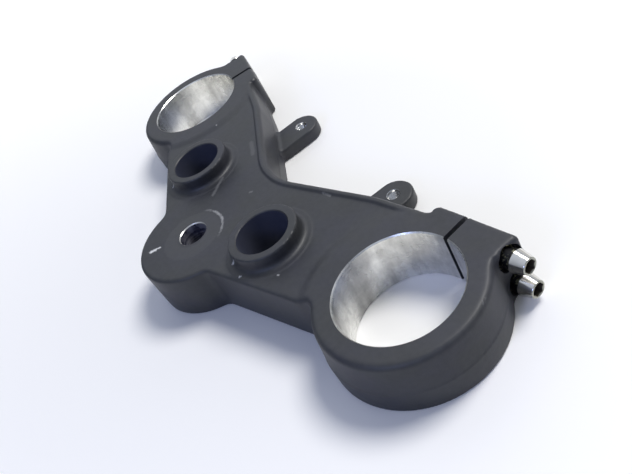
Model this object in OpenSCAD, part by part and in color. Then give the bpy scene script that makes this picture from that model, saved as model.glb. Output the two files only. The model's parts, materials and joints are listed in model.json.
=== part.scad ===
// Upper triple clamp of a motorcycle: a one-piece casting and its four pinch bolts.
// The origin is in the plane of the underside, midway between the two fork tubes.
// X runs along the row of fork tubes, the pinch slots open towards +Y and Z points up.

/* [Fork clamps] */
// Distance between the centres of the two fork tubes
fork_spacing = 212; // [205:1:225]
// Bore that holds the fork tube
fork_d = 50; // [48:0.5:51]
// Wall of the clamp ring at its foot
clamp_wall = 10.5; // [9.5:0.5:12]
// Width of the pinch slot
slot_w = 2; // [1.5:0.25:3]
// Lean of the slot towards the middle, in degrees
slot_turn = 8; // [6:0.5:12]
// Chamfer at both ends of the fork bores
bore_chamfer = 0.5; // [0.3:0.1:1]

/* [Pinch tabs] */
// Turn of the tabs and bolts in plan, in degrees
tab_turn = 12; // [10:0.5:14]
// Distance from the bolts' axis to the outer edge of the tabs
tab_edge = 7; // [6:0.1:7.5]
// Reach of the outer tab beyond the bolts' seat
tab_lip = 4.7; // [3:0.1:6]
// Thickness of the inner tab, from the middle of the slot
tab_in = 15.2; // [14:0.1:18]
// Radius of the tabs' upright corners
tab_r = 2.6; // [1.5:0.1:3.5]
// Draft and rounding of the tabs as a share of the casting's
tab_share = 0.3; // [0.2:0.05:0.6]
// Radius of the hollow between each clamp ring and its outer tab
nook_r = 3; // [2:0.5:4]
// Setback of the outer tab's end at that hollow, against its outer corner
nook_back = 2; // [1:0.1:2.6]

/* [Casting] */
// Height of the fork clamps
body_h = 24.4; // [22:0.2:30]
// Draft of the side walls over their height
draft = 1.5; // [0.5:0.1:2]
// Rounding of the upper edges
edge_r = 2.6; // [1.5:0.1:3.5]
// Rounding of the lower edges
foot_r = 1; // [0.5:0.1:2]
// Height of the mould's parting line above the underside
seam_h = 10; // [9:0.2:12]
// Ledge along the parting line
seam_step = 0.25; // [0.1:0.05:0.4]
// Depth of the web below the clamp faces
face_step = 1; // [0.6:0.1:2]
// Distance from the foot of the wall to the inner side of the raised rim
rim_in = 5; // [4.4:0.1:7]
// Width of the raised face around each clamp ring, beyond its wall
ring_land = 1.5; // [0.5:0.1:3]

/* [Arms] */
// Radius of the hollow between the stem boss and each arm
waist_r = 7; // [5:0.5:10]
// Place of that hollow around the stem boss, in degrees
waist_turn = -18; // [-24:1:-14]
// Radius of the hollow between each arm and its clamp ring
crotch_r = 5; // [4:0.5:8]
// Place of that hollow around the fork centre, in degrees
crotch_turn = 237; // [233:1:241]
// Draft and rounding of the arms' stem side and the stem boss as a share of the casting's
arm_share = 0.3; // [0.2:0.05:1]
// Radius of the valley in the middle of the slot side
valley_r = 38; // [30:1:45]
// Distance of the valley's lowest point ahead of the fork line
valley_y = 2.2; // [0:0.2:4]
// Radius of the slight bend in each arm's outer edge
elbow_r = 60; // [40:1:80]
// Distance of that bend from the middle
elbow_x = 59; // [55:1:63]
// Distance of that bend ahead of the fork line
elbow_y = 23.6; // [22:0.2:25]
// Heading of the edge at that bend, in degrees
elbow_turn = 19; // [17:0.5:21]
// Radius of the hollow between each arm and its inner tab
neck_r = 3.8; // [3:0.2:4.6]

/* [Stem boss] */
// Distance of the steering stem behind the fork line
stem_back = 45.6; // [43:0.2:50]
// Diameter of the stem boss at its foot
stem_boss_d = 56.6; // [54:0.2:60]
// Hole for the stem bolt
stem_hole_d = 13.3; // [10:0.1:16]
// Chamfer round the mouth of that hole
stem_chamfer = 1; // [0.5:0.1:2]
// Seat for the top of the steering stem, open below
stem_seat_d = 30; // [26:0.5:32]
// Depth of the stem seat
stem_seat_h = 14; // [10:0.5:16]
// Chamfer round the mouth of the stem seat
seat_chamfer = 0.5; // [0.3:0.1:1]

/* [Riser bosses] */
// Distance between the two handlebar riser bores
riser_spacing = 80.6; // [76:0.2:84]
// Distance of the riser bores behind the fork line
riser_back = 22.8; // [21:0.2:24]
// Bore of the riser bosses
riser_hole_d = 24; // [20:0.5:26]
// Chamfer at both ends of the riser bores
riser_chamfer = 0.4; // [0.2:0.1:0.8]
// Wall of the riser bosses
riser_wall = 4; // [3:0.1:5]
// Height of the riser bosses above the clamp faces
riser_rise = 6.1; // [4:0.1:9]
// Rounding of the riser bosses' upper edges
riser_edge = 0.7; // [0.3:0.1:1.2]
// Radius of the hollow at the foot of the riser bosses
riser_root = 2.2; // [1:0.1:3]

/* [Lugs] */
// Distance of each lug from the middle
lug_x = 45.2; // [42:0.2:48]
// Distance of the lug holes ahead of the fork line
lug_y = 33.2; // [31:0.2:36]
// Width of the lugs
lug_w = 18; // [15:0.5:20]
// Thickness of the lugs
lug_t = 6.9; // [5:0.1:7.5]
// Rounding of the lugs' upper edges
lug_edge = 0.9; // [0.4:0.1:1.5]
// Radius of the hollow where the lugs leave the arms
lug_root = 2.5; // [1.5:0.5:4]
// Core diameter of the tapped lug holes
lug_hole_d = 5; // [4:0.1:6]
// Chamfer round the lug holes
lug_chamfer = 0.7; // [0.3:0.1:1]

/* [Pinch bolts] */
// Thread diameter of the pinch bolts
bolt_d = 6; // [5:0.5:6.5]
// Distance between the two bolts of a clamp, one above the other
bolt_pitch = 12.5; // [11:0.1:12.9]
// Metal between the bolts' holes and the fork bore
bolt_gap = 3; // [2.5:0.1:4]
// Distance from the fork centre to the bolts' seat, along the bolts
seat_out = 21.3; // [20:0.1:23]
// Diameter of the spot-faced bolt seats
seat_d = 11; // [10.6:0.1:12]
// Diameter of the bolt head at its seat
head_d = 10.2; // [9:0.1:11]
// Diameter of the bolt head at its end
head_end_d = 6.9; // [6.6:0.1:8]
// Length of the bolt head
head_l = 11.5; // [9:0.1:13]
// Chamfer round the end of the bolt head
head_chamfer = 0.4; // [0.2:0.1:0.5]
// Width across the flats of the hexagon socket
socket_af = 4.8; // [4:0.1:5]
// Depth of the hexagon socket
socket_h = 4.5; // [3:0.1:5]
// Length of the bolt under its head
bolt_l = 30; // [27:1:31]
// Clearance round the bolt in the outer tab
bolt_fit = 0.3; // [0.2:0.05:0.5]
// Clearance round the bolt in the tapped inner tab
thread_fit = 0.05; // [0.03:0.01:0.1]
// Room left beyond the end of the bolt
bolt_room = 2; // [1:0.5:3]

/* [Underside] */
// Thickness of the web above the hollows
web_t = 8; // [6:0.5:10]
// Wall left outside the hollows
core_wall = 5.5; // [4.5:0.5:7]
// Wall left round the bores beside the hollows
core_land = 4.5; // [4:0.5:6]
// Thickness of the ribs across the hollows
rib_t = 4.5; // [3:0.5:6]
// Radius of the hollows' upright corners
core_r = 2.5; // [1.5:0.5:4]

/* [Hidden] */

paint = [0.2, 0.2, 0.21];
steel = [0.75, 0.75, 0.72];

// Overlap that lets a cut pass clean through a face
cut = 0.5;
// Slack that keeps two touching circles of an outline apart
slack = 0.02;
// Largest gap between a round stretch and its chords
chord_gap = 0.12;
// Steps up the rounding of an edge
edge_steps = 4;
// Facets of a full turn
round_fn = 96;
// Facets of a full turn in the hollows, which carry no fit
core_fn = 36;

fork_x = fork_spacing / 2;
fork_r = fork_d / 2;
clamp_r = fork_r + clamp_wall;
web_z = body_h - face_step;
riser_x = riser_spacing / 2;
riser_r = riser_hole_d / 2 + riser_wall;
riser_z = body_h + riser_rise;
stem_r = stem_boss_d / 2;
core_h = web_z - web_t;
lug_r = lug_w / 2;

// Places along the bolts are measured from the fork centre
bolt_out = fork_r + bolt_gap + bolt_d / 2;
slot_at_bolt = bolt_out * tan(tab_turn - slot_turn);
bolt_low = (body_h - bolt_pitch) / 2;
bolt_high = (body_h + bolt_pitch) / 2;
tab_far = seat_out + tab_lip;
tab_near = slot_at_bolt - tab_in;
tab_top = bolt_out + tab_edge;

// An outline is a list of signed circles [x, y, radius, share] that it runs round
// anticlockwise: a positive radius bulges outwards, a negative one is a hollow.
// The share is the part of an inset that the circle takes.

function polar(c, r, a) = [c.x + r * cos(a), c.y + r * sin(a)];
function circle_at(c, r, share = 1) = [c.x, c.y, r, share];
function mirrored(c) = [-c.x, c.y, c.z, c[3]];
function tab_point(u, v) = polar(polar([fork_x, 0], u, tab_turn), v, 90 + tab_turn);

// Heading of the straight stretch from circle a to circle b
function heading(a, b) =
    atan2(b.y - a.y, b.x - a.x) - asin((b.z - a.z) / norm([b.x - a.x, b.y - a.y]));
function wrap(a) = a - 360 * floor(a / 360);

// Points round circle c of an outline, drawn in by inset, always an odd number
function round_stretch(before, c, after, inset) =
    let (
        start = heading(before, c),
        turn = c.z > 0 ? wrap(heading(c, after) - start) : -wrap(start - heading(c, after)),
        count = 2 * ceil(abs(turn) / (4 * acos(1 - chord_gap / abs(c.z))))
    )
    [for (i = [0:count]) polar(c, c.z - inset * c[3], start + turn * i / count - 90)];

function outline_points(path, inset) =
    let (n = len(path))
    [for (i = [0:n - 1]) each round_stretch(path[(i + n - 1) % n], path[i], path[(i + 1) % n], inset)];

nook_u = tab_far - nook_back + nook_r;
nook_v = sqrt(pow(clamp_r + nook_r + slack, 2) - pow(nook_u, 2));
nook = circle_at(tab_point(nook_u, nook_v), -nook_r, tab_share);
tab_corner_far = circle_at(tab_point(tab_far - tab_r, tab_top - tab_r), tab_r, tab_share);
tab_corner_near = circle_at(tab_point(tab_near + tab_r, tab_top - tab_r), tab_r, tab_share);
neck = circle_at(tab_point(tab_near - neck_r - slack, tab_top), -neck_r);
elbow = circle_at(polar([elbow_x, elbow_y], elbow_r, elbow_turn - 90), elbow_r);
valley = circle_at([0, valley_y + valley_r], -valley_r);
ring = circle_at([fork_x, 0], clamp_r);

// Outline of the casting, where the arms' stem side and the stem boss take the given share
function right_side(arm) = [
    circle_at(polar([0, -stem_back], stem_r + waist_r + slack, waist_turn), -waist_r, arm),
    circle_at(polar([fork_x, 0], clamp_r + crotch_r + slack, crotch_turn), -crotch_r, arm),
    ring, nook, tab_corner_far, tab_corner_near, neck, elbow,
];
function casting_outline(arm) =
    let (right = right_side(arm))
    concat(
        [circle_at([0, -stem_back], stem_r, arm)],
        right,
        [valley],
        [for (i = [len(right) - 1:-1:0]) mirrored(right[i])]
    );
casting = casting_outline(arm_share);
casting_plan = casting_outline(1);

// Slot-side edge of the right arm between the valley and the elbow
arm_turn = heading(elbow, valley) - 180;
arm_edge = polar(elbow, elbow_r, arm_turn + 90);
function arm_y(x) = arm_edge.y + (x - arm_edge.x) * tan(arm_turn);

// Outline of the right lug, with its hollows against the arm and its root inside it
root_low = lug_x - lug_r - lug_root;
root_high = lug_x + lug_r + lug_root;
root_depth = core_wall - 1;
function root_hollow(x) = circle_at([x, arm_y(x) + lug_root / cos(arm_turn)], -lug_root);
function root_corner(x) = circle_at([x, arm_y(x) - root_depth], 1, 0);
lug = [
    circle_at([lug_x, lug_y], lug_r),
    root_hollow(root_low),
    root_corner(root_low),
    root_corner(root_high),
    root_hollow(root_high),
];

// Side wall of a cast piece, as pairs of height and inset
function foot_levels(r) =
    [for (i = [0:edge_steps]) let (a = 90 * i / edge_steps) [r * (1 - cos(a)), r * (1 - sin(a))]];
function edge_levels(h, lean, r) =
    [for (i = [0:edge_steps]) let (a = 90 * i / edge_steps) [h - r + r * sin(a), lean + r * (1 - cos(a))]];
casting_levels = concat(
    foot_levels(foot_r),
    [[seam_h, 0], [seam_h + seam_step, seam_step]],
    edge_levels(body_h, draft, edge_r)
);
lug_levels = concat([[0, 0]], edge_levels(lug_t, seam_step, lug_edge));

// Flat caps are fans: each run of outline points is joined to its own hub, a point
// that sees them all. Numbers from n upwards in a run stand for the hubs themselves.
function fans(runs) = [for (r = runs) for (i = [1:len(r[1]) - 1]) [r[0], r[1][i - 1], r[1][i]]];

casting_n = len(outline_points(casting, 0));
stem_n = len(round_stretch(casting[len(casting) - 1], casting[0], casting[1], 0));
waist_n = len(round_stretch(casting[0], casting[1], casting[2], 0));
valley_n = (casting_n + stem_n - 1) / 2;
casting_hubs = [[0, -stem_back], [fork_x, 0], [-fork_x, 0]];
casting_fans =
    let (n = casting_n, stem = n, right = n + 1, left = n + 2, from = stem_n + waist_n - 1)
    fans([
        [stem, concat([for (i = [n - waist_n:n - 1]) i], [for (i = [0:from]) i])],
        [right, concat([stem], [for (i = [from:valley_n]) i], [stem])],
        [left, concat([stem], [for (i = [valley_n:n - waist_n]) i], [stem])],
    ]);
lug_n = len(outline_points(lug, 0));
lug_hubs = [[lug_x, arm_y(lug_x)]];
lug_fans = fans([[lug_n, concat([for (i = [0:lug_n - 1]) i], [0])]]);

// A closed shell through the outline at each level
module shell(path, levels, hubs, caps) {
    n = len(outline_points(path, 0));
    top = len(levels) - 1;
    hub_count = len(hubs);
    points = concat(
        [for (l = levels) each [for (q = outline_points(path, l[1])) [q.x, q.y, l[0]]]],
        [for (l = [levels[0], levels[top]]) each [for (q = hubs) [q.x, q.y, l[0]]]]
    );
    walls = [
        for (k = [0:top - 1], i = [0:n - 1])
            let (j = (i + 1) % n)
            each [
                [k * n + i, (k + 1) * n + i, (k + 1) * n + j],
                [k * n + i, (k + 1) * n + j, k * n + j],
            ]
    ];
    floor_faces = [for (t = caps) [for (i = t) i < n ? i : i + top * n]];
    roof_faces = [
        for (t = caps)
            [for (i = [t[0], t[2], t[1]]) i + top * n + (i < n ? 0 : hub_count)]
    ];
    polyhedron(points, concat(floor_faces, roof_faces, walls));
}

module both_sides() {
    children();
    mirror([1, 0, 0]) children();
}

module along_bolt(u, z) {
    at = tab_point(u, bolt_out);
    translate([at.x, at.y, z]) rotate([0, 90, tab_turn]) children();
}

module bar(r, h) {
    cylinder(r = r, h = h, $fn = round_fn);
}

// A round hole from z = 0 upwards, chamfered at both ends
module chamfered_bore(r, h, chamfer) {
    translate([0, 0, -cut]) bar(r, h + 2 * cut);
    for (z = [0, h])
        translate([0, 0, z])
            mirror([0, 0, z > 0 ? 0 : 1])
                translate([0, 0, -chamfer])
                    cylinder(r1 = r, r2 = r + chamfer + cut, h = chamfer + cut, $fn = round_fn);
}

// Shallow floor between the clamp faces and the raised rim, open towards the stem
module web_floor() {
    reach = stem_back + stem_r;
    translate([0, 0, web_z])
        linear_extrude(face_step + cut)
            difference() {
                intersection() {
                    union() {
                        for (i = [0:2])
                            translate([0, -i * rim_in]) polygon(outline_points(casting_plan, rim_in));
                        translate([-stem_r, -reach - cut]) square([stem_boss_d, reach / 2]);
                    }
                    translate([-fork_x + fork_r, -reach - cut]) square([2 * (fork_x - fork_r), 2 * reach]);
                }
                both_sides() translate([fork_x, 0]) circle(r = clamp_r + ring_land, $fn = 2 * round_fn);
            }
}

module riser_boss() {
    top = riser_z - core_h;
    step = web_z - core_h;
    rotate_extrude($fn = round_fn)
        polygon(concat(
            [[0, 0], [riser_r, 0], [riser_r + riser_root, step]],
            [for (i = [1:edge_steps]) let (a = 90 * i / edge_steps)
                [riser_r + riser_root * (1 - sin(a)), step + riser_root * (1 - cos(a))]],
            [for (i = [0:edge_steps]) let (a = 90 * i / edge_steps)
                [riser_r - riser_edge * (1 - cos(a)), top - riser_edge * (1 - sin(a))]],
            [[0, top]]
        ));
}

// Plan of the hollows under the web, clear of every bore and split by ribs
module core_plan() {
    offset(r = core_r)
        offset(delta = -core_r)
            difference() {
                polygon(outline_points(casting_plan, core_wall));
                translate([0, -stem_back]) circle(r = stem_seat_d / 2 + core_land, $fn = core_fn);
                translate([-rib_t / 2, -stem_back]) square([rib_t, 2 * stem_back]);
                both_sides() {
                    translate([fork_x, 0]) circle(r = clamp_r, $fn = core_fn);
                    translate([fork_x, -fork_x]) square(2 * fork_x);
                    translate([riser_x, -riser_back])
                        circle(r = riser_hole_d / 2 + core_land, $fn = core_fn);
                    hull() {
                        translate([fork_x, 0]) circle(d = rib_t);
                        translate([riser_x, -riser_back]) circle(d = rib_t);
                    }
                    hull() {
                        translate([riser_x, lug_y]) circle(d = rib_t);
                        translate([riser_x, -riser_back]) circle(d = rib_t);
                    }
                }
            }
}

// Everything that is cut for the bolts of the right clamp
module bolt_cuts() {
    tapped = slot_at_bolt - (seat_out - bolt_l) + bolt_room;
    for (z = [bolt_low, bolt_high]) {
        along_bolt(seat_out, z) bar(seat_d / 2, seat_d);
        along_bolt(slot_at_bolt, z) bar(bolt_d / 2 + bolt_fit, seat_out - slot_at_bolt + cut);
        along_bolt(slot_at_bolt - tapped, z) bar(bolt_d / 2 + thread_fit, tapped + cut);
    }
}

// The casting before any cut, with its lugs and riser bosses
module blank() {
    difference() {
        shell(casting, casting_levels, casting_hubs, casting_fans);
        web_floor();
    }
    both_sides() {
        shell(lug, lug_levels, lug_hubs, lug_fans);
        translate([riser_x, -riser_back, core_h]) riser_boss();
    }
}

// The casting with the hollows of its underside
module hollowed() {
    difference() {
        blank();
        translate([0, 0, -cut]) linear_extrude(core_h + cut) core_plan();
    }
}

module stem_cuts() {
    translate([0, -stem_back, 0]) {
        translate([0, 0, -cut]) bar(stem_hole_d / 2, body_h + 2 * cut);
        translate([0, 0, -cut]) bar(stem_seat_d / 2, stem_seat_h + cut);
        translate([0, 0, -cut])
            cylinder(d1 = stem_seat_d + 2 * (seat_chamfer + cut), d2 = stem_seat_d,
                h = seat_chamfer + cut, $fn = round_fn);
        translate([0, 0, web_z - stem_chamfer])
            cylinder(d1 = stem_hole_d, d2 = stem_hole_d + 2 * (stem_chamfer + cut),
                h = stem_chamfer + cut, $fn = round_fn);
    }
}

// Bores and slot of the right side
module side_cuts() {
    translate([fork_x, 0, 0]) {
        chamfered_bore(fork_r, body_h, bore_chamfer);
        rotate(slot_turn) translate([-slot_w / 2, 0, -cut])
            cube([slot_w, 2 * tab_top, body_h + 2 * cut]);
    }
    translate([riser_x, -riser_back, 0]) chamfered_bore(riser_hole_d / 2, riser_z, riser_chamfer);
    translate([lug_x, lug_y, 0]) chamfered_bore(lug_hole_d / 2, lug_t, lug_chamfer);
}

module bored() {
    difference() {
        hollowed();
        stem_cuts();
        both_sides() side_cuts();
    }
}

module clamp_body() {
    color(paint)
        difference() {
            bored();
            both_sides() bolt_cuts();
        }
}

// A pinch bolt with its seat at z = 0 and its tapered head above
module pinch_bolt() {
    color(steel)
        difference() {
            rotate_extrude($fn = round_fn)
                polygon([
                    [0, -bolt_l],
                    [bolt_d / 2 - head_chamfer, -bolt_l],
                    [bolt_d / 2, -bolt_l + head_chamfer],
                    [bolt_d / 2, 0],
                    [head_d / 2, 0],
                    [head_d / 2, head_chamfer],
                    [head_end_d / 2, head_l - head_chamfer],
                    [head_end_d / 2 - head_chamfer, head_l],
                    [0, head_l],
                ]);
            translate([0, 0, head_l - socket_h])
                cylinder(d = socket_af / cos(30), h = socket_h + cut, $fn = 6);
        }
}

module pinch_bolt_right_upper() {
    along_bolt(seat_out, bolt_high) pinch_bolt();
}

module pinch_bolt_right_lower() {
    along_bolt(seat_out, bolt_low) pinch_bolt();
}

module pinch_bolt_left_upper() {
    mirror([1, 0, 0]) pinch_bolt_right_upper();
}

module pinch_bolt_left_lower() {
    mirror([1, 0, 0]) pinch_bolt_right_lower();
}

clamp_body();
pinch_bolt_right_upper();
pinch_bolt_right_lower();
pinch_bolt_left_upper();
pinch_bolt_left_lower();
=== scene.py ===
# Upper triple clamp of a motorcycle: powder-coated casting, bare bores and steel pinch bolts.
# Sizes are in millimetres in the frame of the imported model; meshes are scaled to metres.
import json
import math

import bpy
import numpy as np
from mathutils import Matrix, Vector


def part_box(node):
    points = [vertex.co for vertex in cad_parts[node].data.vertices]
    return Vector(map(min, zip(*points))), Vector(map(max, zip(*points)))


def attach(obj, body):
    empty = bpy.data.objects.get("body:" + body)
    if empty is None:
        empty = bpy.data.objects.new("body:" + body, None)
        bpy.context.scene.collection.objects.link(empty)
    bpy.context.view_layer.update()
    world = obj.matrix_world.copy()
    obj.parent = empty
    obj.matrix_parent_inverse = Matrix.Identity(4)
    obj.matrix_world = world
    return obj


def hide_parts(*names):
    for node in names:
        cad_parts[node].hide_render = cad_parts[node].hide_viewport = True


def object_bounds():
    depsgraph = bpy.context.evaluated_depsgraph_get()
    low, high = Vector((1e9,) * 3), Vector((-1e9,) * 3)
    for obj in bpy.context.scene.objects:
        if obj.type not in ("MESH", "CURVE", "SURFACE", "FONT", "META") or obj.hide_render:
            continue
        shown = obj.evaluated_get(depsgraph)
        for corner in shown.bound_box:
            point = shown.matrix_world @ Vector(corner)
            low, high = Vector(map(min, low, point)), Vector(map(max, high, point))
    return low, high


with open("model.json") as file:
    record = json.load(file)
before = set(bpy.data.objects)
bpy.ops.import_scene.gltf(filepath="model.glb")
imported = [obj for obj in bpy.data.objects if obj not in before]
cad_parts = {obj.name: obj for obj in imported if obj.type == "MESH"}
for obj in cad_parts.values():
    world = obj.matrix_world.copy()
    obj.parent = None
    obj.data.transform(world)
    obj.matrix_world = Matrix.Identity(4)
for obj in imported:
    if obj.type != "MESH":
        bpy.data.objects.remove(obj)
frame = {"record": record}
cadBox = [list(corner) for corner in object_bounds()]
mm = 0.001
mounts = {m["name"]: m for m in frame["record"]["mounts"]}


def mountPlace(name):
    return np.array(mounts[name]["pos_m"]) / mm


def mountRadius(name):
    return mounts[name]["dims"]["r_mm"]


forkX = mountPlace("fork_clamp_right")[0]
forkBore = mountRadius("fork_clamp_right")
stemY = mountPlace("stem_bolt_hole")[1]
stemBore = mountRadius("stem_bolt_hole")
stemSeat = mountRadius("stem_seat")
riserX, riserY = mountPlace("riser_bore_right")[:2]
riserBore = mountRadius("riser_bore_right")
lugX, lugY = mountPlace("lug_hole_right")[:2]
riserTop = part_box("clamp_body")[1][2] / mm

# Camera, as solved from the rims of the bores in the photograph

camera = dict(
    place=(281.80, -41.84, 207.67), turn=(46.361, 24.479, 59.708),
    lens=41.615, sensor=36.0, near=10.0,
)


def makeCamera(s):
    data = bpy.data.cameras.new("viewCamera")
    data.lens = s["lens"]
    data.sensor_width = s["sensor"]
    data.clip_start = s["near"] * mm
    eye = bpy.data.objects.new("viewCamera", data)
    eye.location = [v * mm for v in s["place"]]
    eye.rotation_euler = [math.radians(a) for a in s["turn"]]
    bpy.context.scene.collection.objects.link(eye)
    bpy.context.scene.camera = eye


# Small helpers for meshes

flatFaceWeight = 80  # above 50, large faces count for more in the normals at their borders


def meshObject(name, points, faces):
    data = bpy.data.meshes.new(name)
    data.from_pydata([tuple(p) for p in points], [], [tuple(f) for f in faces])
    data.validate()
    thing = bpy.data.objects.new(name, data)
    bpy.context.scene.collection.objects.link(thing)
    return thing


def applyModifiers(thing):
    depsgraph = bpy.context.evaluated_depsgraph_get()
    baked = bpy.data.meshes.new_from_object(thing.evaluated_get(depsgraph))
    thing.modifiers.clear()
    old = thing.data
    thing.data = baked
    bpy.data.meshes.remove(old)
    return thing


def smoothBelow(thing, degrees):
    # smooth shading up to this angle, so that flat faces stay flat beside their rounded edges
    thing.data.shade_smooth()
    thing.data.set_sharp_from_angle(angle=math.radians(degrees))
    even = thing.modifiers.new("even", "WEIGHTED_NORMAL")
    even.keep_sharp = True
    even.weight = flatFaceWeight
    applyModifiers(thing)


def alongAxis(start, direction):
    # frame whose Z runs along the direction
    z = Vector(direction).normalized()
    turn = z.to_track_quat("Z", "Y").to_matrix().to_4x4()
    return Matrix.Translation(Vector(start)) @ turn


def lathe(name, profile, segments, place):
    # closed solid of revolution: the profile runs from bottom to top as (radius, height),
    # and its first and last points are on the axis
    points = []
    faces = []
    rings = []
    for radius, height in profile:
        if radius == 0:
            rings.append([len(points)])
            points.append(place @ Vector((0, 0, height)))
            continue
        rings.append(list(range(len(points), len(points) + segments)))
        for i in range(segments):
            a = 2 * math.pi * i / segments
            points.append(place @ Vector((radius * math.cos(a), radius * math.sin(a), height)))
    for low, high in zip(rings, rings[1:]):
        for i in range(segments):
            j = (i + 1) % segments
            if len(low) == 1:
                faces.append((low[0], high[j], high[i]))
            elif len(high) == 1:
                faces.append((low[i], low[j], high[0]))
            else:
                faces.append((low[i], low[j], high[j], high[i]))
    return meshObject(name, points, faces)


def box(name, low, high, place):
    points = [
        place @ Vector((x, y, z))
        for z in (low[2], high[2]) for y in (low[1], high[1]) for x in (low[0], high[0])
    ]
    faces = [(0, 2, 3, 1), (4, 5, 7, 6), (0, 1, 5, 4), (2, 6, 7, 3), (0, 4, 6, 2), (1, 3, 7, 5)]
    return meshObject(name, points, faces)


def combine(thing, others, operation):
    for other in others:
        step = thing.modifiers.new(operation.lower(), "BOOLEAN")
        step.operation = operation
        step.solver = "MANIFOLD"
        step.object = other
    applyModifiers(thing)
    for other in others:
        bpy.data.objects.remove(other)


def quarterTurn(steps):
    return [math.radians(90 * i / steps) for i in range(steps + 1)]


def toMetres(thing):
    thing.data.transform(Matrix.Scale(mm, 4))
    thing.data.update()


# The casting as a field: negative inside, worked out on a grid and then meshed

casting = dict(
    height=24.4, draft=1.5, edgeRadius=2.6, footRadius=1.0, seamHeight=10.0, seamStep=0.25,
    ringWall=10.45, crotchRadius=5.0, crotchTurn=237.0, waistRadius=7.0, waistTurn=-18.0,
    stemRadius=28.3, valleyRadius=38.0, valleyY=2.2, outlineSlack=0.02,
    elbowRadius=60.0, elbowX=59.0, elbowY=23.6, elbowTurn=19.0,
    armDraft=0.1, armEdge=0.55, armFrom=-8.0, armFade=8.0, armRingFade=7.0,
    webDrop=1.0, webThickness=8.0, rimInset=5.0, rimBack=14.0, rimSlant=0.06, stepWidth=0.9,
    ringLand=2.6, landWidth=2.8, padRadius=20.4, padRise=0.3, padFade=0.9,
    tabTurn=12.0, tabNear=-13.0, tabFar=26.0, tabTop=38.0, tabCorner=2.6, tabBlend=2.8,
    tabShare=0.35, tabEdge=0.8, tabFade=1.5,
    tabLean=2.0, leanLength=11.0, leanMost=1.5, leanFrom=5.0,
    bossWall=4.0, bossEdge=0.7, bossRoot=2.4, bossFoot=12.0,
    lugRadius=9.0, lugReach=14.0, lugHeight=6.9, lugEdge=0.9, lugRoot=2.2,
    coreWall=5.5, coreLand=4.5, coreRib=4.5, coreCorner=2.5, coreCeiling=1.2,
    coreDraft=0.02, coreMouth=0.5,
    gridStep=0.62, arcStep=1.2, facesKept=150000, smoothAngle=34,
)


def roundMax(a, b, r):
    # both at once, with an edge of radius r
    return np.minimum(-r, np.maximum(a, b)) + np.hypot(np.maximum(a + r, 0), np.maximum(b + r, 0))


def roundMin(a, b, r):
    # either one, with a hollow of radius r between them
    return -roundMax(-a, -b, r)


def polar(x, y, r, degrees):
    a = math.radians(degrees)
    return x + r * math.cos(a), y + r * math.sin(a)


def heading(a, b):
    # direction of the tangent line from signed circle a to signed circle b
    gap = math.hypot(b[0] - a[0], b[1] - a[1])
    return math.degrees(math.atan2(b[1] - a[1], b[0] - a[0]) - math.asin((b[2] - a[2]) / gap))


def tangentOutline(circles, step):
    # closed outline round signed circles: positive radii bulge, negative ones are hollows
    points = []
    for before, c, after in zip(circles[-1:] + circles[:-1], circles, circles[1:] + circles[:1]):
        start = heading(before, c)
        turn = (heading(c, after) - start) % 360
        if c[2] < 0:
            turn -= 360
        count = max(2, math.ceil(abs(math.radians(turn) * c[2]) / step))
        points += [polar(c[0], c[1], c[2], start + turn * i / count - 90) for i in range(count + 1)]
    return np.array(points)


def signedDistance(x, y, outline):
    # distance to a closed outline, negative inside
    tooShort = 1e-12
    nearest = np.full(x.shape, np.inf)
    crossings = np.zeros(x.shape, dtype=bool)
    for (ax, ay), (bx, by) in zip(outline, np.roll(outline, -1, axis=0)):
        dx = bx - ax
        dy = by - ay
        length = dx * dx + dy * dy
        if length < tooShort:
            continue
        along = np.clip(((x - ax) * dx + (y - ay) * dy) / length, 0, 1)
        nearest = np.minimum(nearest, (x - ax - along * dx) ** 2 + (y - ay - along * dy) ** 2)
        if ay != by:
            crossings ^= ((ay > y) != (by > y)) & (x < dx * (y - ay) / dy + ax)
    return np.where(crossings, -1, 1) * np.sqrt(nearest)


def toSegment(x, y, a, b):
    dx = b[0] - a[0]
    dy = b[1] - a[1]
    along = np.clip(((x - a[0]) * dx + (y - a[1]) * dy) / (dx * dx + dy * dy), 0, 1)
    return np.hypot(x - a[0] - along * dx, y - a[1] - along * dy)


def softStep(t):
    t = np.clip(t, 0, 1)
    return t * t * (3 - 2 * t)


def castingOutline(s):
    ring = forkBore + s["ringWall"]
    slack = s["outlineSlack"]  # keeps touching circles apart
    waistOut = s["stemRadius"] + s["waistRadius"] + slack
    waist = (*polar(0, stemY, waistOut, s["waistTurn"]), -s["waistRadius"])
    crotchOut = ring + s["crotchRadius"] + slack
    crotch = (*polar(forkX, 0, crotchOut, s["crotchTurn"]), -s["crotchRadius"])
    elbowPlace = polar(s["elbowX"], s["elbowY"], s["elbowRadius"], s["elbowTurn"] - 90)
    elbow = (*elbowPlace, s["elbowRadius"])
    right = [waist, crotch, (forkX, 0, ring), elbow]
    left = [(-c[0], c[1], c[2]) for c in reversed(right)]
    valley = (0, s["valleyY"] + s["valleyRadius"], -s["valleyRadius"])
    return tangentOutline([(0, stemY, s["stemRadius"])] + right + [valley] + left, s["arcStep"])


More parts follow.
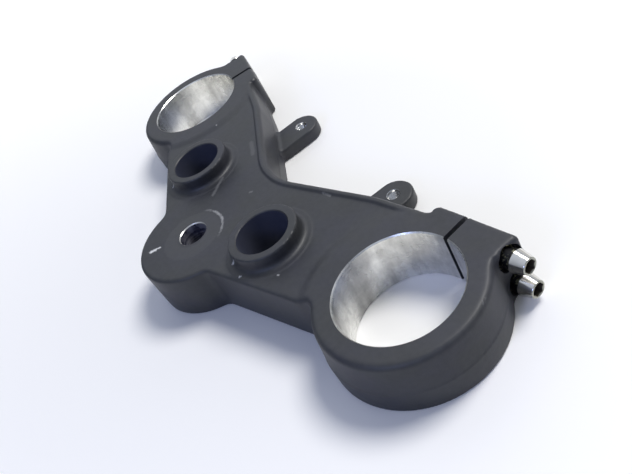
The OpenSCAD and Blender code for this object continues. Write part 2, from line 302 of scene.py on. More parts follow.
def castingField(s, x, y, z):
    # both halves are alike, so the right one serves the left by |x|
    side = np.abs(x)
    toRing = np.hypot(side - forkX, y) - (forkBore + s["ringWall"])
    toRiser = np.hypot(side - riserX, y - riserY)
    toStem = np.hypot(x, y - stemY)
    plan = signedDistance(x, y, castingOutline(s))

    # tab that the pinch bolts go through, square to their axis
    turn = math.radians(s["tabTurn"])
    u = (side - forkX) * math.cos(turn) + y * math.sin(turn)
    v = y * math.cos(turn) - (side - forkX) * math.sin(turn)
    halfU = (s["tabFar"] - s["tabNear"]) / 2 - s["tabCorner"]
    halfV = s["tabTop"] / 2 - s["tabCorner"]
    lean = s["tabLean"] * np.clip((s["tabTop"] - v) / s["leanLength"], 0, s["leanMost"])
    offU = np.abs(u + lean * (u > s["leanFrom"]) - (s["tabFar"] + s["tabNear"]) / 2) - halfU
    offV = np.abs(v - s["tabTop"] / 2) - halfV
    outside = np.hypot(np.maximum(offU, 0), np.maximum(offV, 0))
    tab = outside + np.minimum(np.maximum(offU, offV), 0) - s["tabCorner"]

    # draft and edge radius are smaller at the tabs and the arms
    tabHere = softStep((plan - tab) / s["tabFade"] + 0.5)
    armHere = softStep((s["armFrom"] - y) / s["armFade"]) * softStep(toRing / s["armRingFade"])
    draftShare = 1 - (1 - s["tabShare"]) * tabHere - (1 - s["armDraft"]) * armHere
    edgeShare = 1 - (1 - s["tabEdge"]) * tabHere - (1 - s["armEdge"]) * armHere
    plan = roundMin(plan, tab, s["tabBlend"])

    # recessed web with a raised rim along the slot side
    behind = y + s["rimBack"] - s["rimSlant"] * side
    recess = np.maximum(np.minimum(plan + s["rimInset"], behind), side - (forkX - forkBore))
    low = softStep(0.5 - recess / s["stepWidth"] / 2)
    low = low * softStep(0.5 - (s["ringLand"] - toRing) / s["landWidth"] / 2)
    top = s["height"] - s["webDrop"] * low
    padHere = softStep((s["padRadius"] - toRiser) / s["padFade"])
    pad = s["height"] - s["webDrop"] + s["padRise"] * padHere
    top = np.maximum(top, pad)

    # upright to the mould's parting line, a small step there, and draft above it
    seam = s["seamHeight"]
    levels = [0, seam, seam + s["seamStep"], s["height"] - s["edgeRadius"]]
    inset = np.interp(z, levels, [0, 0, s["seamStep"], s["draft"]])
    wall = plan[:, :, None] + draftShare[:, :, None] * inset
    radius = s["edgeRadius"] * edgeShare[:, :, None]
    body = roundMax(wall, z - top[:, :, None], radius)

    # riser bosses, blended into the web
    boss = (toRiser - riserBore - s["bossWall"])[:, :, None] + 0 * z
    boss = roundMax(boss, z - riserTop, s["bossEdge"])
    boss = np.maximum(boss, s["bossFoot"] - z)
    body = roundMin(body, boss, s["bossRoot"])

    # lugs at the foot of the arms
    lug = toSegment(side, y, (lugX, lugY), (lugX, lugY - s["lugReach"])) - s["lugRadius"]
    lug = roundMax(lug[:, :, None] + 0 * z, z - s["lugHeight"], s["lugEdge"])
    body = roundMin(body, lug, s["lugRoot"])
    body = roundMax(body, -z, s["footRadius"])

    # hollows under the web, between ribs
    core = plan + s["coreWall"]
    rib = s["coreRib"] / 2
    for keep in (
        toStem - stemSeat - s["coreLand"],
        side - rib,
        toRing,
        toRiser - riserBore - s["coreLand"],
        toSegment(side, y, (forkX, 0), (riserX, riserY)) - rib,
        toSegment(side, y, (riserX, lugY), (riserX, riserY)) - rib,
    ):
        core = roundMax(core, -keep, s["coreCorner"])
    core = np.maximum(core, side - forkX)
    ceiling = s["height"] - s["webDrop"] - s["webThickness"]
    hollow = roundMax(core[:, :, None] + s["coreDraft"] * z, z - ceiling, s["coreCeiling"])
    return roundMax(body, -hollow, s["coreMouth"])


def meshField(field, xs, ys, zs):
    # surface nets: one point in each cell that the surface crosses, one quad for each edge it crosses
    inside = field < 0
    shape = np.array(field.shape) - 1
    step = np.array([xs[1] - xs[0], ys[1] - ys[0], zs[1] - zs[0]])
    origin = np.array([xs[0], ys[0], zs[0]])
    total = int(np.prod(shape))
    sums = np.zeros((3, total))
    counts = np.zeros(total)
    quads = []
    for axis in range(3):
        low = [slice(None)] * 3
        high = [slice(None)] * 3
        low[axis] = slice(0, -1)
        high[axis] = slice(1, None)
        a = field[tuple(low)]
        b = field[tuple(high)]
        change = inside[tuple(low)] != inside[tuple(high)]
        cells = np.argwhere(change)
        part = a[change] / (a[change] - b[change])
        place = cells.astype(float)
        place[:, axis] += part
        rising = inside[tuple(low)][change]
        second, third = (axis + 1) % 3, (axis + 2) % 3
        ring = []
        for d2, d3 in ((-1, -1), (0, -1), (0, 0), (-1, 0)):
            cell = cells.copy()
            cell[:, second] += d2
            cell[:, third] += d3
            index = np.ravel_multi_index(cell.T, shape)
            ring.append(index)
            counts += np.bincount(index, minlength=total)
            for k in range(3):
                sums[k] += np.bincount(index, weights=place[:, k], minlength=total)
        ring = np.array(ring).T
        ring[~rising] = ring[~rising][:, ::-1]
        quads.append(ring)
    used = np.flatnonzero(counts)
    number = np.full(total, -1)
    number[used] = np.arange(len(used))
    points = (sums[:, used] / counts[used]).T * step + origin
    return points, number[np.concatenate(quads)]


def makeCasting(s):
    step = s["gridStep"]
    margin = 2 * step
    low = np.array(cadBox[0]) / mm - margin
    high = np.array(cadBox[1]) / mm + margin
    xs, ys, zs = (np.arange(low[i], high[i] + step, step) for i in range(3))
    x, y = np.meshgrid(xs, ys, indexing="ij")
    points, quads = meshField(castingField(s, x, y, zs), xs, ys, zs)
    print("casting net:", len(points), "points", len(quads), "quads")
    piece = meshObject("clamp_casting", points, quads)
    thin = piece.modifiers.new("thin", "DECIMATE")
    thin.ratio = s["facesKept"] / (2 * len(quads))
    applyModifiers(piece)
    return piece


# Machining: bores, slots, bolt seats and tapped holes, cut crisply into the casting

machining = dict(
    boreChamfer=0.5, riserChamfer=0.4, stemChamfer=0.45, stemSeatChamfer=0.5, stemSeatDepth=14.0,
    slotWidth=2.0, slotTurn=8.0, slotReach=60.0,
    lugChamfer=0.25, lugThread=3.0, lugThreadFrom=0.7, lugThreadShort=1.5,
    seatOut=21.3, seatRadius=5.5, seatCorner=0.6, seatSteps=4, seatReach=20.0,
    boltOut=31.0, boltPitch=12.5, boltRadius=3.0, boltFit=0.3, threadFit=0.05, threadTo=2.2,
    boltLength=30.0, boltRoom=2.0, overlap=1.0, over=2.0,
    segments=dict(fork=160, riser=96, stemSeat=96, stem=72, seat=72, lug=48, bolt=40),
)


def throughHole(name, place, radius, high, chamfer, segments):
    # from the underside up, chamfered at both ends
    over = machining["over"]
    wide = radius + chamfer + over
    profile = [
        (0, -over), (wide, -over), (radius, chamfer),
        (radius, high - chamfer), (wide, high + over), (0, high + over),
    ]
    return lathe(name, profile, segments, place)


def boltFrame(side, z):
    # along the pinch bolts of one side, from above the fork centre outwards
    turn = math.radians(casting["tabTurn"])
    v = machining["boltOut"]
    start = (side * (forkX - v * math.sin(turn)), v * math.cos(turn), z)
    return alongAxis(start, (side * math.cos(turn), math.sin(turn), 0))


def boltHeights():
    middle = casting["height"] / 2
    return {"upper": middle + machining["boltPitch"] / 2, "lower": middle - machining["boltPitch"] / 2}


def seatProfile(s):
    # flat floor, small rounded corner, open outwards
    floor = s["seatOut"]
    corner = s["seatCorner"]
    top = floor + s["seatReach"]
    bend = [
        (s["seatRadius"] - corner + corner * math.sin(a), floor + corner - corner * math.cos(a))
        for a in quarterTurn(s["seatSteps"])
    ]
    return [(0, floor), *bend, (s["seatRadius"], top), (0, top)]


def boltHoleProfile(s):
    # close to the thread in the inner tab, clear of the shank in the outer one
    tip = s["seatOut"] - s["boltLength"] - s["boltRoom"]
    top = s["seatOut"] + s["overlap"]
    tight = s["boltRadius"] + s["threadFit"]
    clear = s["boltRadius"] + s["boltFit"]
    step = s["threadTo"]
    return [(0, tip), (tight, tip), (tight, step), (clear, step), (clear, top), (0, top)]


def machineCasting(piece, s):
    top = casting["height"]
    over = s["over"]
    half = s["slotWidth"] / 2
    n = s["segments"]
    # three rounds: bores and upper seats, slots and upper bolt holes, lower bolts
    first = []
    second = []
    third = []
    for side in (1, -1):
        fork = Matrix.Translation((side * forkX, 0, 0))
        riser = Matrix.Translation((side * riserX, riserY, 0))
        lug = Matrix.Translation((side * lugX, lugY, 0))
        first += [
            throughHole("bore", fork, forkBore, top, s["boreChamfer"], n["fork"]),
            throughHole("riser", riser, riserBore, riserTop, s["riserChamfer"], n["riser"]),
            throughHole("lug", lug, s["lugThread"], casting["lugHeight"], s["lugChamfer"], n["lug"]),
        ]
        slot = fork @ Matrix.Rotation(side * math.radians(s["slotTurn"]), 4, "Z")
        second.append(box("slot", (-half, 0, -over), (half, s["slotReach"], top + over), slot))
        for z in boltHeights().values():
            along = boltFrame(side, z)
            seat = lathe("seat", seatProfile(s), n["seat"], along)
            hole = lathe("boltHole", boltHoleProfile(s), n["bolt"], along)
            (first if z > top / 2 else third).append(seat)
            (second if z > top / 2 else third).append(hole)
    stem = Matrix.Translation((0, stemY, 0))
    web = top - casting["webDrop"]
    first.append(throughHole("stem", stem, stemBore, web, s["stemChamfer"], n["stem"]))
    chamfer = s["stemSeatChamfer"]
    depth = s["stemSeatDepth"]
    socket = [
        (0, -over), (stemSeat + chamfer + over, -over), (stemSeat, chamfer),
        (stemSeat, depth), (0, depth),
    ]
    second.append(lathe("stemSeat", socket, n["stemSeat"], stem))
    for group in (first, second, third):
        combine(piece, group, "DIFFERENCE")
    print("casting machined:", len(piece.data.polygons), "faces")


# Threads, as a helix that is fused with the wall it stands on

thread = dict(pitch=1.0, depth=0.46, facets=4, stepsPerTurn=36)
threadInputs = dict(
    Radius="Float", Pitch="Float", Turns="Float", Depth="Float", Facets="Int", Steps="Int",
)


def threadTree(material):
    tree = bpy.data.node_groups.new("threadHelix", "GeometryNodeTree")
    tree.interface.new_socket("Geometry", in_out="OUTPUT", socket_type="NodeSocketGeometry")
    for name, kind in threadInputs.items():
        tree.interface.new_socket(name, in_out="INPUT", socket_type=f"NodeSocket{kind}")
    nodes = tree.nodes
    given = nodes.new("NodeGroupInput")
    height = nodes.new("ShaderNodeMath")
    height.operation = "MULTIPLY"
    spiral = nodes.new("GeometryNodeCurveSpiral")
    upright = nodes.new("GeometryNodeSetCurveNormal")
    upright.mode = "Z_UP"
    section = nodes.new("GeometryNodeCurvePrimitiveCircle")
    sweep = nodes.new("GeometryNodeCurveToMesh")
    sweep.inputs["Fill Caps"].default_value = True
    paint = nodes.new("GeometryNodeSetMaterial")
    paint.inputs["Material"].default_value = material
    real = nodes.new("GeometryNodeRealizeInstances")
    result = nodes.new("NodeGroupOutput")
    for a, b in (
        (given.outputs["Pitch"], height.inputs[0]),
        (given.outputs["Turns"], height.inputs[1]),
        (given.outputs["Radius"], spiral.inputs["Start Radius"]),
        (given.outputs["Radius"], spiral.inputs["End Radius"]),
        (given.outputs["Turns"], spiral.inputs["Rotations"]),
        (given.outputs["Steps"], spiral.inputs["Resolution"]),
        (height.outputs[0], spiral.inputs["Height"]),
        (given.outputs["Depth"], section.inputs["Radius"]),
        (given.outputs["Facets"], section.inputs["Resolution"]),
        (spiral.outputs["Curve"], upright.inputs["Curve"]),
        (upright.outputs["Curve"], sweep.inputs["Curve"]),
        (section.outputs["Curve"], sweep.inputs["Profile Curve"]),
        (sweep.outputs["Mesh"], real.inputs["Geometry"]),
        (real.outputs["Geometry"], paint.inputs["Geometry"]),
        (paint.outputs["Geometry"], result.inputs["Geometry"]),
    ):
        tree.links.new(a, b)
    return tree


def rollThread(piece, name, tree, radius, length, place):
    s = thread
    values = dict(
        Radius=radius, Pitch=s["pitch"], Turns=length / s["pitch"], Depth=s["depth"],
        Facets=s["facets"], Steps=s["stepsPerTurn"],
    )
    helix = meshObject(name, [], [])
    build = helix.modifiers.new("threadHelix", "NODES")
    build.node_group = tree
    for socket in tree.interface.items_tree:
        if socket.in_out == "INPUT":
            build[socket.identifier] = values[socket.name]
    applyModifiers(helix)
    helix.data.transform(place)
    combine(piece, [helix], "UNION")


# Pinch bolts: tapered socket heads on M6 shanks

bolt = dict(
    length=30.0, shankRadius=3.0, coreRadius=2.55, tipChamfer=0.5, taper=0.6,
    threadLength=20.0, threadFrom=0.8, threadShort=1.2,
    headRadius=5.1, collarEdge=0.1, collarSide=0.5, collarTop=0.9,
    neckRadius=4.0, neckLength=5.7, coneRadius=4.65, coneEdge=0.2, coneStart=0.1, coneFull=0.35,
    headLength=11.5, endRadius=3.45, edge=0.4, edgeSteps=4,
    socketAcross=4.9, socketDepth=4.5, socketPoint=0.8,
    mouthDepth=0.35, mouthRise=0.6, mouthFlare=0.7, over=1.0,
    segments=72, mouthSegments=36, smoothAngle=30,
    darkBelow=1.0, darkWider=0.45, endBand=0.3, neckBelow=0.1, neckAbove=0.2,
)


def makeBolt(name, place, s):
    # collar and neck stay in the shadow of the seat and carry painted shade for it, the polished cone
    # starts beyond them
    tip = -s["length"]
    core = s["coreRadius"]
    neck = s["neckLength"]
    end = s["headLength"]
    edge = s["edge"]
    rolled = tip + s["threadLength"]
    profile = [
        (0, tip), (core - s["tipChamfer"], tip), (core, tip + s["taper"]),
        (core, rolled), (s["shankRadius"], rolled + s["taper"]), (s["shankRadius"], 0),
        (s["headRadius"] - s["collarEdge"], 0), (s["headRadius"], s["collarEdge"]),
        (s["headRadius"], s["collarSide"]), (s["neckRadius"], s["collarTop"]),
        (s["neckRadius"], neck), (s["coneRadius"] - s["coneEdge"], neck + s["coneStart"]),
        (s["coneRadius"], neck + s["coneFull"]),
    ]
    for a in quarterTurn(s["edgeSteps"]):
        profile.append((s["endRadius"] - edge + edge * math.cos(a), end - edge + edge * math.sin(a)))
    profile.append((0, end))
    piece = lathe(name, profile, s["segments"], place)

    flat = s["socketAcross"] / 2
    corner = flat / math.cos(math.radians(30))
    floor = end - s["socketDepth"]
    above = end + s["over"]
    hexagon = [(0, floor - s["socketPoint"]), (corner, floor), (corner, above), (0, above)]
    low = end - s["mouthDepth"]
    high = end + s["mouthRise"]
    mouth = [(0, low), (flat, low), (corner + s["mouthFlare"], high), (0, high)]
    cutters = [
        lathe("socket", hexagon, 6, place),
        lathe("mouth", mouth, s["mouthSegments"], place),
    ]
    combine(piece, cutters, "DIFFERENCE")
    return piece


# Materials


class Wire:
    # a socket that takes part in Python sums: each operator adds its Math node
    def __init__(self, tree, socket):
        self.tree = tree
        self.socket = socket

    def math(self, operation, *others, flip=False, **settings):
        values = [self, *others]
        if flip:
            values.reverse()
        settings["operation"] = operation
        return addNode(self.tree, "ShaderNodeMath", settings, dict(enumerate(values)))

    def __add__(self, other):
        return self.math("ADD", other)

    def __radd__(self, other):
        return self.math("ADD", other, flip=True)

    def __sub__(self, other):
        return self.math("SUBTRACT", other)

    def __rsub__(self, other):
        return self.math("SUBTRACT", other, flip=True)

    def __mul__(self, other):
        return self.math("MULTIPLY", other)

    def __rmul__(self, other):
        return self.math("MULTIPLY", other, flip=True)

    def __truediv__(self, other):
        return self.math("DIVIDE", other)

    def __rtruediv__(self, other):
        return self.math("DIVIDE", other, flip=True)

    def __gt__(self, other):
        return self.math("GREATER_THAN", other)

    def __lt__(self, other):
        return self.math("LESS_THAN", other)

    def clamp(self):
        return self.math("ADD", 0.0, use_clamp=True)


def feed(tree, slot, value):
    if isinstance(value, Wire):
        tree.links.new(value.socket, slot)
    else:
        slot.default_value = value


def addNode(tree, kind, settings, values, output=0):
    # settings come first, because the sockets depend on them; values go by name or number
    node = tree.nodes.new(kind)
    for key, value in settings.items():
        setattr(node, key, value)
    for key, value in values.items():
        feed(tree, node.inputs[key], value)
    return Wire(tree, node.outputs[output])


class Shading:
    # the nodes that several looks share, in one tree
    def __init__(self, tree):
        self.tree = tree

    def add(self, kind, output=0, **values):
        named = {key.replace("_", " "): value for key, value in values.items()}
        return addNode(self.tree, kind, {}, named, output)

    def place(self, scale=(1, 1, 1)):
        where = self.add("ShaderNodeTexCoord", output="Object")
        return self.add("ShaderNodeMapping", Vector=where, Scale=scale)

    def noise(self, place, scale=1.0, detail=3.0, rough=0.55):
        values = dict(Vector=place, Scale=scale, Detail=detail, Roughness=rough)
        return self.add("ShaderNodeTexNoise", **values)

    def spread(self, value, low, high, outLow=0.0, outHigh=1.0):
        values = dict(Value=value, From_Min=low, From_Max=high, To_Min=outLow, To_Max=outHigh)
        return self.add("ShaderNodeMapRange", **values)

    def mix(self, factor, a, b):
        # sockets of the colour form: factor 0, colours 6 and 7, result 2
        values = {0: factor, 6: a, 7: b}
        return addNode(self.tree, "ShaderNodeMix", dict(data_type="RGBA"), values, 2)

    def vector(self, operation, a, b=None, scale=None):
        # vectors are sockets 0 and 1, the scale is 3, and a number comes out at 1
        given = {0: a, 1: b, 3: scale}
        values = {key: value for key, value in given.items() if value is not None}
        output = 1 if operation in ("DOT_PRODUCT", "LENGTH") else 0
        return addNode(self.tree, "ShaderNodeVectorMath", dict(operation=operation), values, output)

    def bump(self, height, strength, distance, **more):
        values = dict(Height=height, Strength=strength, Distance=distance, **more)
        return self.add("ShaderNodeBump", **values)


class Finish(Shading):
    # a material with one Principled shader
    def __init__(self, name, **fixed):
        self.material = bpy.data.materials.new(name)
        self.material.use_nodes = True
        super().__init__(self.material.node_tree)
        self.shader = next(n for n in self.tree.nodes if n.type == "BSDF_PRINCIPLED")
        for key, value in fixed.items():
            self.set(key, value)

    def set(self, socket, value):
        feed(self.tree, self.shader.inputs[socket], value)


# Wear and painted highlights in the photograph, back-projected to the part: ends in millimetres, half
# width, strength

wearAndGlints = [
    ((-8.5, -66.0, 23.4), (-7.7, -63.6, 23.4), 1.2, 1.0),
    ((-7.7, -63.6, 23.4), (-7.0, -61.3, 23.4), 0.75, 0.9),
    # painted highlights: the glints on the fillets at the feet of the near and far riser bosses
    ((35.3, -38.0, 28.2), (36.3, -38.5, 26.0), 1.1, 1.0),
    ((36.3, -38.6, 26.0), (37.3, -39.8, 24.7), 1.3, 1.0),
    ((-45.5, -37.9, 28.2), (-44.5, -38.4, 25.6), 1.1, 0.9),
    ((-44.5, -38.4, 25.6), (-43.4, -39.5, 24.2), 0.9, 0.8),
    # wear marks
    ((46.6, -40.9, 23.2), (46.8, -40.7, 23.2), 0.9, 1.0),
    ((60.4, -28.7, 23.4), (60.5, -28.6, 23.4), 0.7, 0.45),
    ((-69.2, -1.3, 23.9), (-69.0, -1.2, 23.9), 0.6, 0.4),
    ((1.3, -13.4, 23.4), (1.6, -13.0, 23.4), 0.9, 0.12),
    # painted highlight along the edge of the far riser boss's pad, drawn as a faint light streak
    ((-16.0, -27.2, 23.4), (-19.8, -22.6, 23.5), 1.2, 0.11),
    ((-19.8, -22.6, 23.6), (-22.6, -18.3, 23.7), 1.0, 0.10),
    # wear marks
    ((35.6, 8.6, 23.4), (40.2, 9.6, 23.4), 0.8, 0.11),
    ((-34.0, 4.4, 23.6), (-24.0, 0.6, 23.6), 1.6, 0.05),
    ((136.8, 14.4, 23.3), (134.8, 15.6, 24.1), 0.5, 0.08),
    ((136.3, 16.0, 23.3), (134.3, 17.2, 24.1), 0.5, 0.07),
    ((135.6, 17.8, 23.3), (133.7, 18.8, 24.1), 0.5, 0.05),
]
rubbed = dict(
    centre=(1.1, -46.4, 0.0), radius=15.6, half=0.85, peakAngle=84.0, spread=52.0, strength=0.4,
    bandRadius=11.0, bandHalf=3.2, bandFade=0.8, bandStrength=0.22, above=22.0,
)
coat = dict(
    dark=[(0.0195, 0.021, 0.0238, 1), (0.0195, 0.021, 0.029, 1)],
    light=[(0.033, 0.035, 0.037, 1), (0.0325, 0.034, 0.0435, 1)],
    # the worn colour is the light of both the bare-metal wear and the painted highlights
    scuffed=(0.075, 0.077, 0.078, 1), worn=(0.66, 0.67, 0.68, 1), roughness=(0.43, 0.53),
    raggedScale=900.0, ragged=1.4, coreShare=0.35,
)


def wearAndGlintMarks(f, at):
    # strongest of the marks, both wear and painted highlights: each is a line with a full core and a
    # fading rim
    worn = None
    for a, b, half, strength in wearAndGlints:
        start = np.array(a) * mm
        run = (np.array(b) - np.array(a)) * mm
        off = f.vector("SUBTRACT", at, start)
        along = (f.vector("DOT_PRODUCT", off, run) / float(run @ run)).clamp()
        gap = f.vector("LENGTH", f.vector("SUBTRACT", off, f.vector("SCALE", run, scale=along)))
        mark = f.spread(gap, half * mm, coat["coreShare"] * half * mm, 0.0, strength)
        worn = mark if worn is None else worn.math("MAXIMUM", mark)
    return worn


def rubbedRing(f, at, speck, above, r):
    # arc and band that a washer rubbed round the stem hole
    centre = [v * mm for v in r["centre"]]
    flat = f.vector("MULTIPLY", f.vector("SUBTRACT", at, centre), (1, 1, 0))
    reach = f.vector("LENGTH", flat)
    peak = (*polar(0, 0, 1, r["peakAngle"]), 0)
    facing = f.vector("DOT_PRODUCT", flat, peak) / reach
    offArc = (reach - r["radius"] * mm).math("ABSOLUTE")
    arc = f.spread(offArc, r["half"] * mm, 0.2 * r["half"] * mm)
    arc = arc * f.spread(facing, math.cos(math.radians(r["spread"])), 1.0)
    arc = arc * f.spread(speck, 0.35, 0.6, 0.35, 1.0)
    offBand = (reach - r["bandRadius"] * mm).math("ABSOLUTE")
    band = f.spread(offBand, (r["bandHalf"] + r["bandFade"]) * mm, r["bandHalf"] * mm)
    return arc * above * r["strength"], band * above * r["bandStrength"]


def powderCoat(s):
    f = Finish("powderCoat")
    where = f.place()
    cloud = f.noise(where, scale=24.0, detail=4.0)
    tint = f.noise(f.place((1, 1, 1.4)), scale=55.0)
    grain = f.noise(where, scale=1400.0, detail=2.0)
    speck = f.noise(where, scale=420.0)
    bluish = f.spread(tint, 0.35, 0.65)
    tone = f.spread(cloud * 0.65 + speck * 0.35, 0.38, 0.64)
    colour = f.mix(tone, f.mix(bluish, *s["dark"]), f.mix(bluish, *s["light"]))

    # marks have ragged edges, because the place they are measured from is jittered
    jitter = f.add("ShaderNodeTexNoise", output=1, Vector=where, Scale=s["raggedScale"])
    jitter = f.vector("SUBTRACT", jitter, (0.5, 0.5, 0.5))
    at = f.vector("ADD", where, f.vector("SCALE", jitter, scale=s["ragged"] * mm))
    above = f.add("ShaderNodeSeparateXYZ", output=2, Vector=where) > rubbed["above"] * mm
    arc, band = rubbedRing(f, at, speck, above, rubbed)
    # wear marks and painted highlights are mixed in with one light colour
    worn = wearAndGlintMarks(f, at).math("MAXIMUM", arc)
    f.set("Base Color", f.mix(worn, f.mix(band, colour, s["scuffed"]), s["worn"]))
    f.set("Roughness", f.spread(cloud, 0.3, 0.7, *s["roughness"]))
    coarse = f.bump(speck, 0.10, 0.0004)
    f.set("Normal", f.bump(grain, 0.12, 0.0002, Normal=coarse))
    return f.material


def bareAluminium():
    # turned and wiped metal: fine rings, long smears up the wall and a patchy dark film
    f = Finish("bareAluminium", Metallic=1.0)
    turned = f.noise(f.place((8, 8, 1400)))
    smear = f.noise(f.place((110, 110, 22)), detail=5.0, rough=0.6)
    film = f.noise(f.place(), scale=55.0, detail=6.0, rough=0.7)
    patch = f.noise(f.place((1, 1, 0.6)), scale=38.0)
    tone = smear * 0.5 + film * 0.5
    metal = f.mix(f.spread(tone, 0.38, 0.60), (0.40, 0.395, 0.38, 1), (0.90, 0.90, 0.87, 1))
    dirty = f.spread(patch, 0.54, 0.70, 0.0, 0.5)
    f.set("Base Color", f.mix(dirty, metal, (0.19, 0.19, 0.20, 1)))
    f.set("Roughness", f.spread(tone + turned * 0.2, 0.45, 0.75, 0.36, 0.2))
    f.set("Normal", f.bump(turned, 0.10, 0.0002, Normal=f.bump(smear, 0.15, 0.0006)))
    return f.material


def oiledSteel():
    # bore of the stem bolt: turned, painted dark and bluish as the shade deep in the hole, bright on
    # the crests
    f = Finish("oiledSteel", Metallic=0.5)
    rings = f.noise(f.place((6, 6, 900)))
    smear = f.noise(f.place((160, 160, 90)), detail=4.0)
    crest = f.spread(smear * 0.6 + rings * 0.4, 0.42, 0.62)
    f.set("Base Color", f.mix(crest, (0.05, 0.052, 0.09, 1), (0.40, 0.40, 0.46, 1)))
    f.set("Roughness", f.spread(smear, 0.3, 0.7, 0.22, 0.4))
    f.set("Normal", f.bump(rings, 0.5, 0.0005))
    return f.material


def boredCoat():
    # riser bores: painted light, a lighter bluish coat standing in for the bluish light on their deep
    # walls
    f = Finish("boredCoat")
    cloud = f.noise(f.place((60, 60, 20)))
    f.set("Base Color", f.mix(cloud, (0.036, 0.041, 0.066, 1), (0.060, 0.066, 0.10, 1)))
    f.set("Roughness", f.spread(cloud, 0.3, 0.7, 0.45, 0.6))
    f.set("Normal", f.bump(f.noise(f.place((5, 5, 900))), 0.15, 0.0003))
    return f.material


def cloudy(name, scale, detail, dark, light, roughness, metallic=1.0):
    # metal that varies softly between two colours
    f = Finish(name, Metallic=metallic)
    cloud = f.noise(f.place(), scale=scale, detail=detail)
    f.set("Base Color", f.mix(cloud, dark, light))
    f.set("Roughness", f.spread(cloud, 0.3, 0.7, *roughness))
    return f.material


def dullZinc():
    # collar and neck of the pinch bolts: painted shade, dark for the shadow of the seat, with
    # yellowish patches that are painted glints
    f = Finish("dullZinc", Metallic=0.85)
    patch = f.noise(f.place(), scale=520.0, detail=4.0)
    bright = f.spread(patch, 0.53, 0.66)
    f.set("Base Color", f.mix(bright, (0.018, 0.018, 0.02, 1), (0.50, 0.49, 0.32, 1)))
    f.set("Roughness", f.spread(patch, 0.4, 0.6, 0.5, 0.3))
    return f.material


# Studio: pale floor, soft light

studio = dict(
    floorHalf=6.0, paper=(0.94, 0.94, 0.94, 1), glow=0.6, glowReach=(0.10, 0.75),
    fill=0.27, fillColour=(0.78, 0.85, 1.0, 1), mirrored=0.14, overhead=0.60,
    lamps=dict(
        keyLamp=dict(place=(0.02, 0.78, 1.15), size=0.6, watts=15.5, colour=(1.0, 0.98, 0.95)),
        lowLamp=dict(place=(-0.95, 1.30, 0.25), size=1.2, watts=1.6, colour=(1.0, 1.0, 0.98)),
        windowLamp=dict(place=(-1.40, 0.35, 1.00), size=2.0, watts=5.0, colour=(0.96, 0.98, 1.0)),
        skyLamp=dict(place=(0.55, -0.75, 0.60), size=0.4, watts=2.6, colour=(0.42, 0.52, 1.0)),
    ),
)
black = (0, 0, 0, 1)
white = (1, 1, 1, 1)


def makeFloor(s):
    half = s["floorHalf"]
    corners = [(-half, -half, 0), (half, -half, 0), (half, half, 0), (-half, half, 0)]
    floor = meshObject("studioFloor", corners, [(0, 1, 2, 3)])
    # the paper glows for the camera away from the part, so it stays pale to the horizon
    paper = Finish("floorPaper", Roughness=0.6)
    paper.set("Base Color", s["paper"])
    away = paper.spread(paper.vector("LENGTH", paper.place()), *s["glowReach"])
    glow = away * paper.add("ShaderNodeLightPath", output="Is Camera Ray")
    paper.set("Emission Color", paper.mix(glow, black, white))
    paper.set("Emission Strength", s["glow"])
    floor.data.materials.append(paper.material)


def makeWorld(s):
    # the camera sees white, reflections see a room that is bright overhead and dim near the floor
    world = bpy.data.worlds.new("studioWorld")
    bpy.context.scene.world = world
    world.use_nodes = True
    sky = Shading(world.node_tree)
    back = next(n for n in sky.tree.nodes if n.type == "BACKGROUND")
    seen = sky.add("ShaderNodeLightPath", output="Is Camera Ray")
    shine = sky.add("ShaderNodeLightPath", output="Is Glossy Ray")
    upward = sky.add("ShaderNodeTexCoord", output="Generated")
    height = sky.add("ShaderNodeSeparateXYZ", output=2, Vector=upward)
    room = height.clamp() * s["overhead"] + s["mirrored"]
    level = seen * (1 - s["fill"]) + shine * (room - s["fill"]) + s["fill"]
    feed(sky.tree, back.inputs["Color"], sky.mix(seen, s["fillColour"], white))
    feed(sky.tree, back.inputs["Strength"], level)


def makeLamps(s):
    for name, lamp in s["lamps"].items():
        data = bpy.data.lights.new(name, "AREA")
        data.shape = "DISK"
        data.size = lamp["size"]
        data.energy = lamp["watts"]
        data.color = lamp["colour"]
        thing = bpy.data.objects.new(name, data)
        thing.location = lamp["place"]
        thing.rotation_euler = (-Vector(lamp["place"])).to_track_quat("-Z", "Y").to_euler()
        bpy.context.scene.collection.objects.link(thing)


# Looks by place

wallTilt = 0.95  # faces whose normal rises more than this are tops, not walls
looksReach = dict(bored=0.02, thread=0.3)


def setLooks(data, looks):
    data.materials.clear()
    for material in looks.values():
        data.materials.append(material)
    return {name: number for number, name in enumerate(looks)}


def facesOf(data, key):
    values = np.empty(len(data.polygons) * 3)
    data.polygons.foreach_get(key, values)
    return values.reshape(-1, 3)


def finishCasting(piece, looks):
    slot = setLooks(piece.data, looks)
    centres = facesOf(piece.data, "center")
    wall = np.abs(facesOf(piece.data, "normal")[:, 2]) < wallTilt
    side = np.abs(centres[:, 0])
    slots = np.zeros(len(centres), dtype=np.int32)
    for look, x, y, reach in (
        ("bare", forkX, 0, forkBore + machining["boreChamfer"]),
        ("bare", 0, stemY, stemBore + machining["stemChamfer"]),
        ("oiled", 0, stemY, stemBore + looksReach["bored"]),
        ("bored", riserX, riserY, riserBore + looksReach["bored"]),
        ("tapped", lugX, lugY, machining["lugThread"] + looksReach["thread"]),
    ):
        slots[wall & (np.hypot(side - x, centres[:, 1] - y) < reach)] = slot[look]
    piece.data.polygons.foreach_set("material_index", slots)
    toMetres(piece)
    smoothBelow(piece, casting["smoothAngle"])


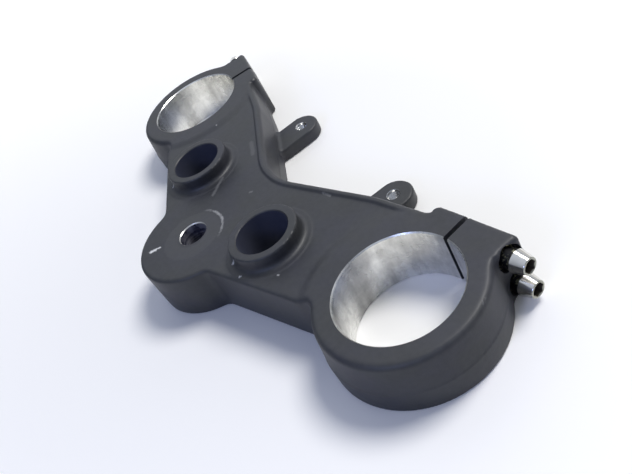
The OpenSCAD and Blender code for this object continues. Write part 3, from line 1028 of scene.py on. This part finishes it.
def finishBolt(piece, place, s, looks):
    # painted shade inside the socket and on the collar and neck, with painted glints on the neck;
    # darker on the end, bright elsewhere
    slot = setLooks(piece.data, looks)
    back = place.inverted()
    socketFloor = s["headLength"] - s["socketDepth"] - s["darkBelow"]
    socketMouth = s["headLength"] - s["endBand"]
    socketReach = s["socketAcross"] / 2 + s["darkWider"]
    for face in piece.data.polygons:
        at = back @ face.center
        if socketFloor < at.z < socketMouth and math.hypot(at.x, at.y) < socketReach:
            face.material_index = slot["socket"]
        elif -s["neckBelow"] < at.z < s["neckLength"] + s["neckAbove"]:
            face.material_index = slot["neck"]
        elif at.z > socketMouth:
            face.material_index = slot["end"]
    toMetres(piece)
    smoothBelow(piece, s["smoothAngle"])


# Build

makeCamera(camera)
makeFloor(studio)
makeWorld(studio)
makeLamps(studio)
bpy.context.scene.view_settings.view_transform = "Standard"
print("studio ready")

steel = cloudy(
    "brightSteel", 260.0, 4.0, (0.68, 0.66, 0.61, 1), (0.84, 0.82, 0.77, 1), (0.10, 0.18),
)
castingLooks = dict(
    coat=powderCoat(coat), bare=bareAluminium(), oiled=oiledSteel(), bored=boredCoat(),
    tapped=cloudy(
        "tappedAluminium", 260.0, 4.0, (0.42, 0.42, 0.41, 1), (0.80, 0.80, 0.79, 1), (0.18, 0.3),
    ),
)
boltLooks = dict(
    steel=steel,
    # painted shade: the deep hexagon socket gets a dark brownish steel
    socket=cloudy(
        "darkSocket", 900.0, 3.0, (0.04, 0.034, 0.026, 1), (0.20, 0.17, 0.13, 1), (0.35, 0.5),
        metallic=0.6,
    ),
    neck=dullZinc(),
    # the end face of the head is a darker steel than the cone
    end=cloudy(
        "rubbedSteel", 260.0, 4.0, (0.26, 0.26, 0.21, 1), (0.52, 0.52, 0.45, 1), (0.25, 0.4),
    ),
)
helixTree = threadTree(steel)

clamp = makeCasting(casting)
machineCasting(clamp, machining)
lugLength = casting["lugHeight"] - machining["lugThreadShort"]
for side in (1, -1):
    lugPlace = Matrix.Translation((side * lugX, lugY, machining["lugThreadFrom"]))
    rollThread(clamp, "lugThread", helixTree, machining["lugThread"], lugLength, lugPlace)
finishCasting(clamp, castingLooks)
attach(clamp, "root")
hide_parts("clamp_body")
print("casting ready")

boltLength = bolt["threadLength"] - bolt["threadShort"]
for sideName, side in (("right", 1), ("left", -1)):
    for level, z in boltHeights().items():
        node = f"pinch_bolt_{sideName}_{level}"
        place = boltFrame(side, z) @ Matrix.Translation((0, 0, machining["seatOut"]))
        screw = makeBolt(f"{node}_screw", place, bolt)
        rolled = place @ Matrix.Translation((0, 0, bolt["threadFrom"] - bolt["length"]))
        rollThread(screw, "boltThread", helixTree, bolt["coreRadius"], boltLength, rolled)
        finishBolt(screw, place, bolt, boltLooks)
        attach(screw, "root")
        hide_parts(node)
print("bolts ready")
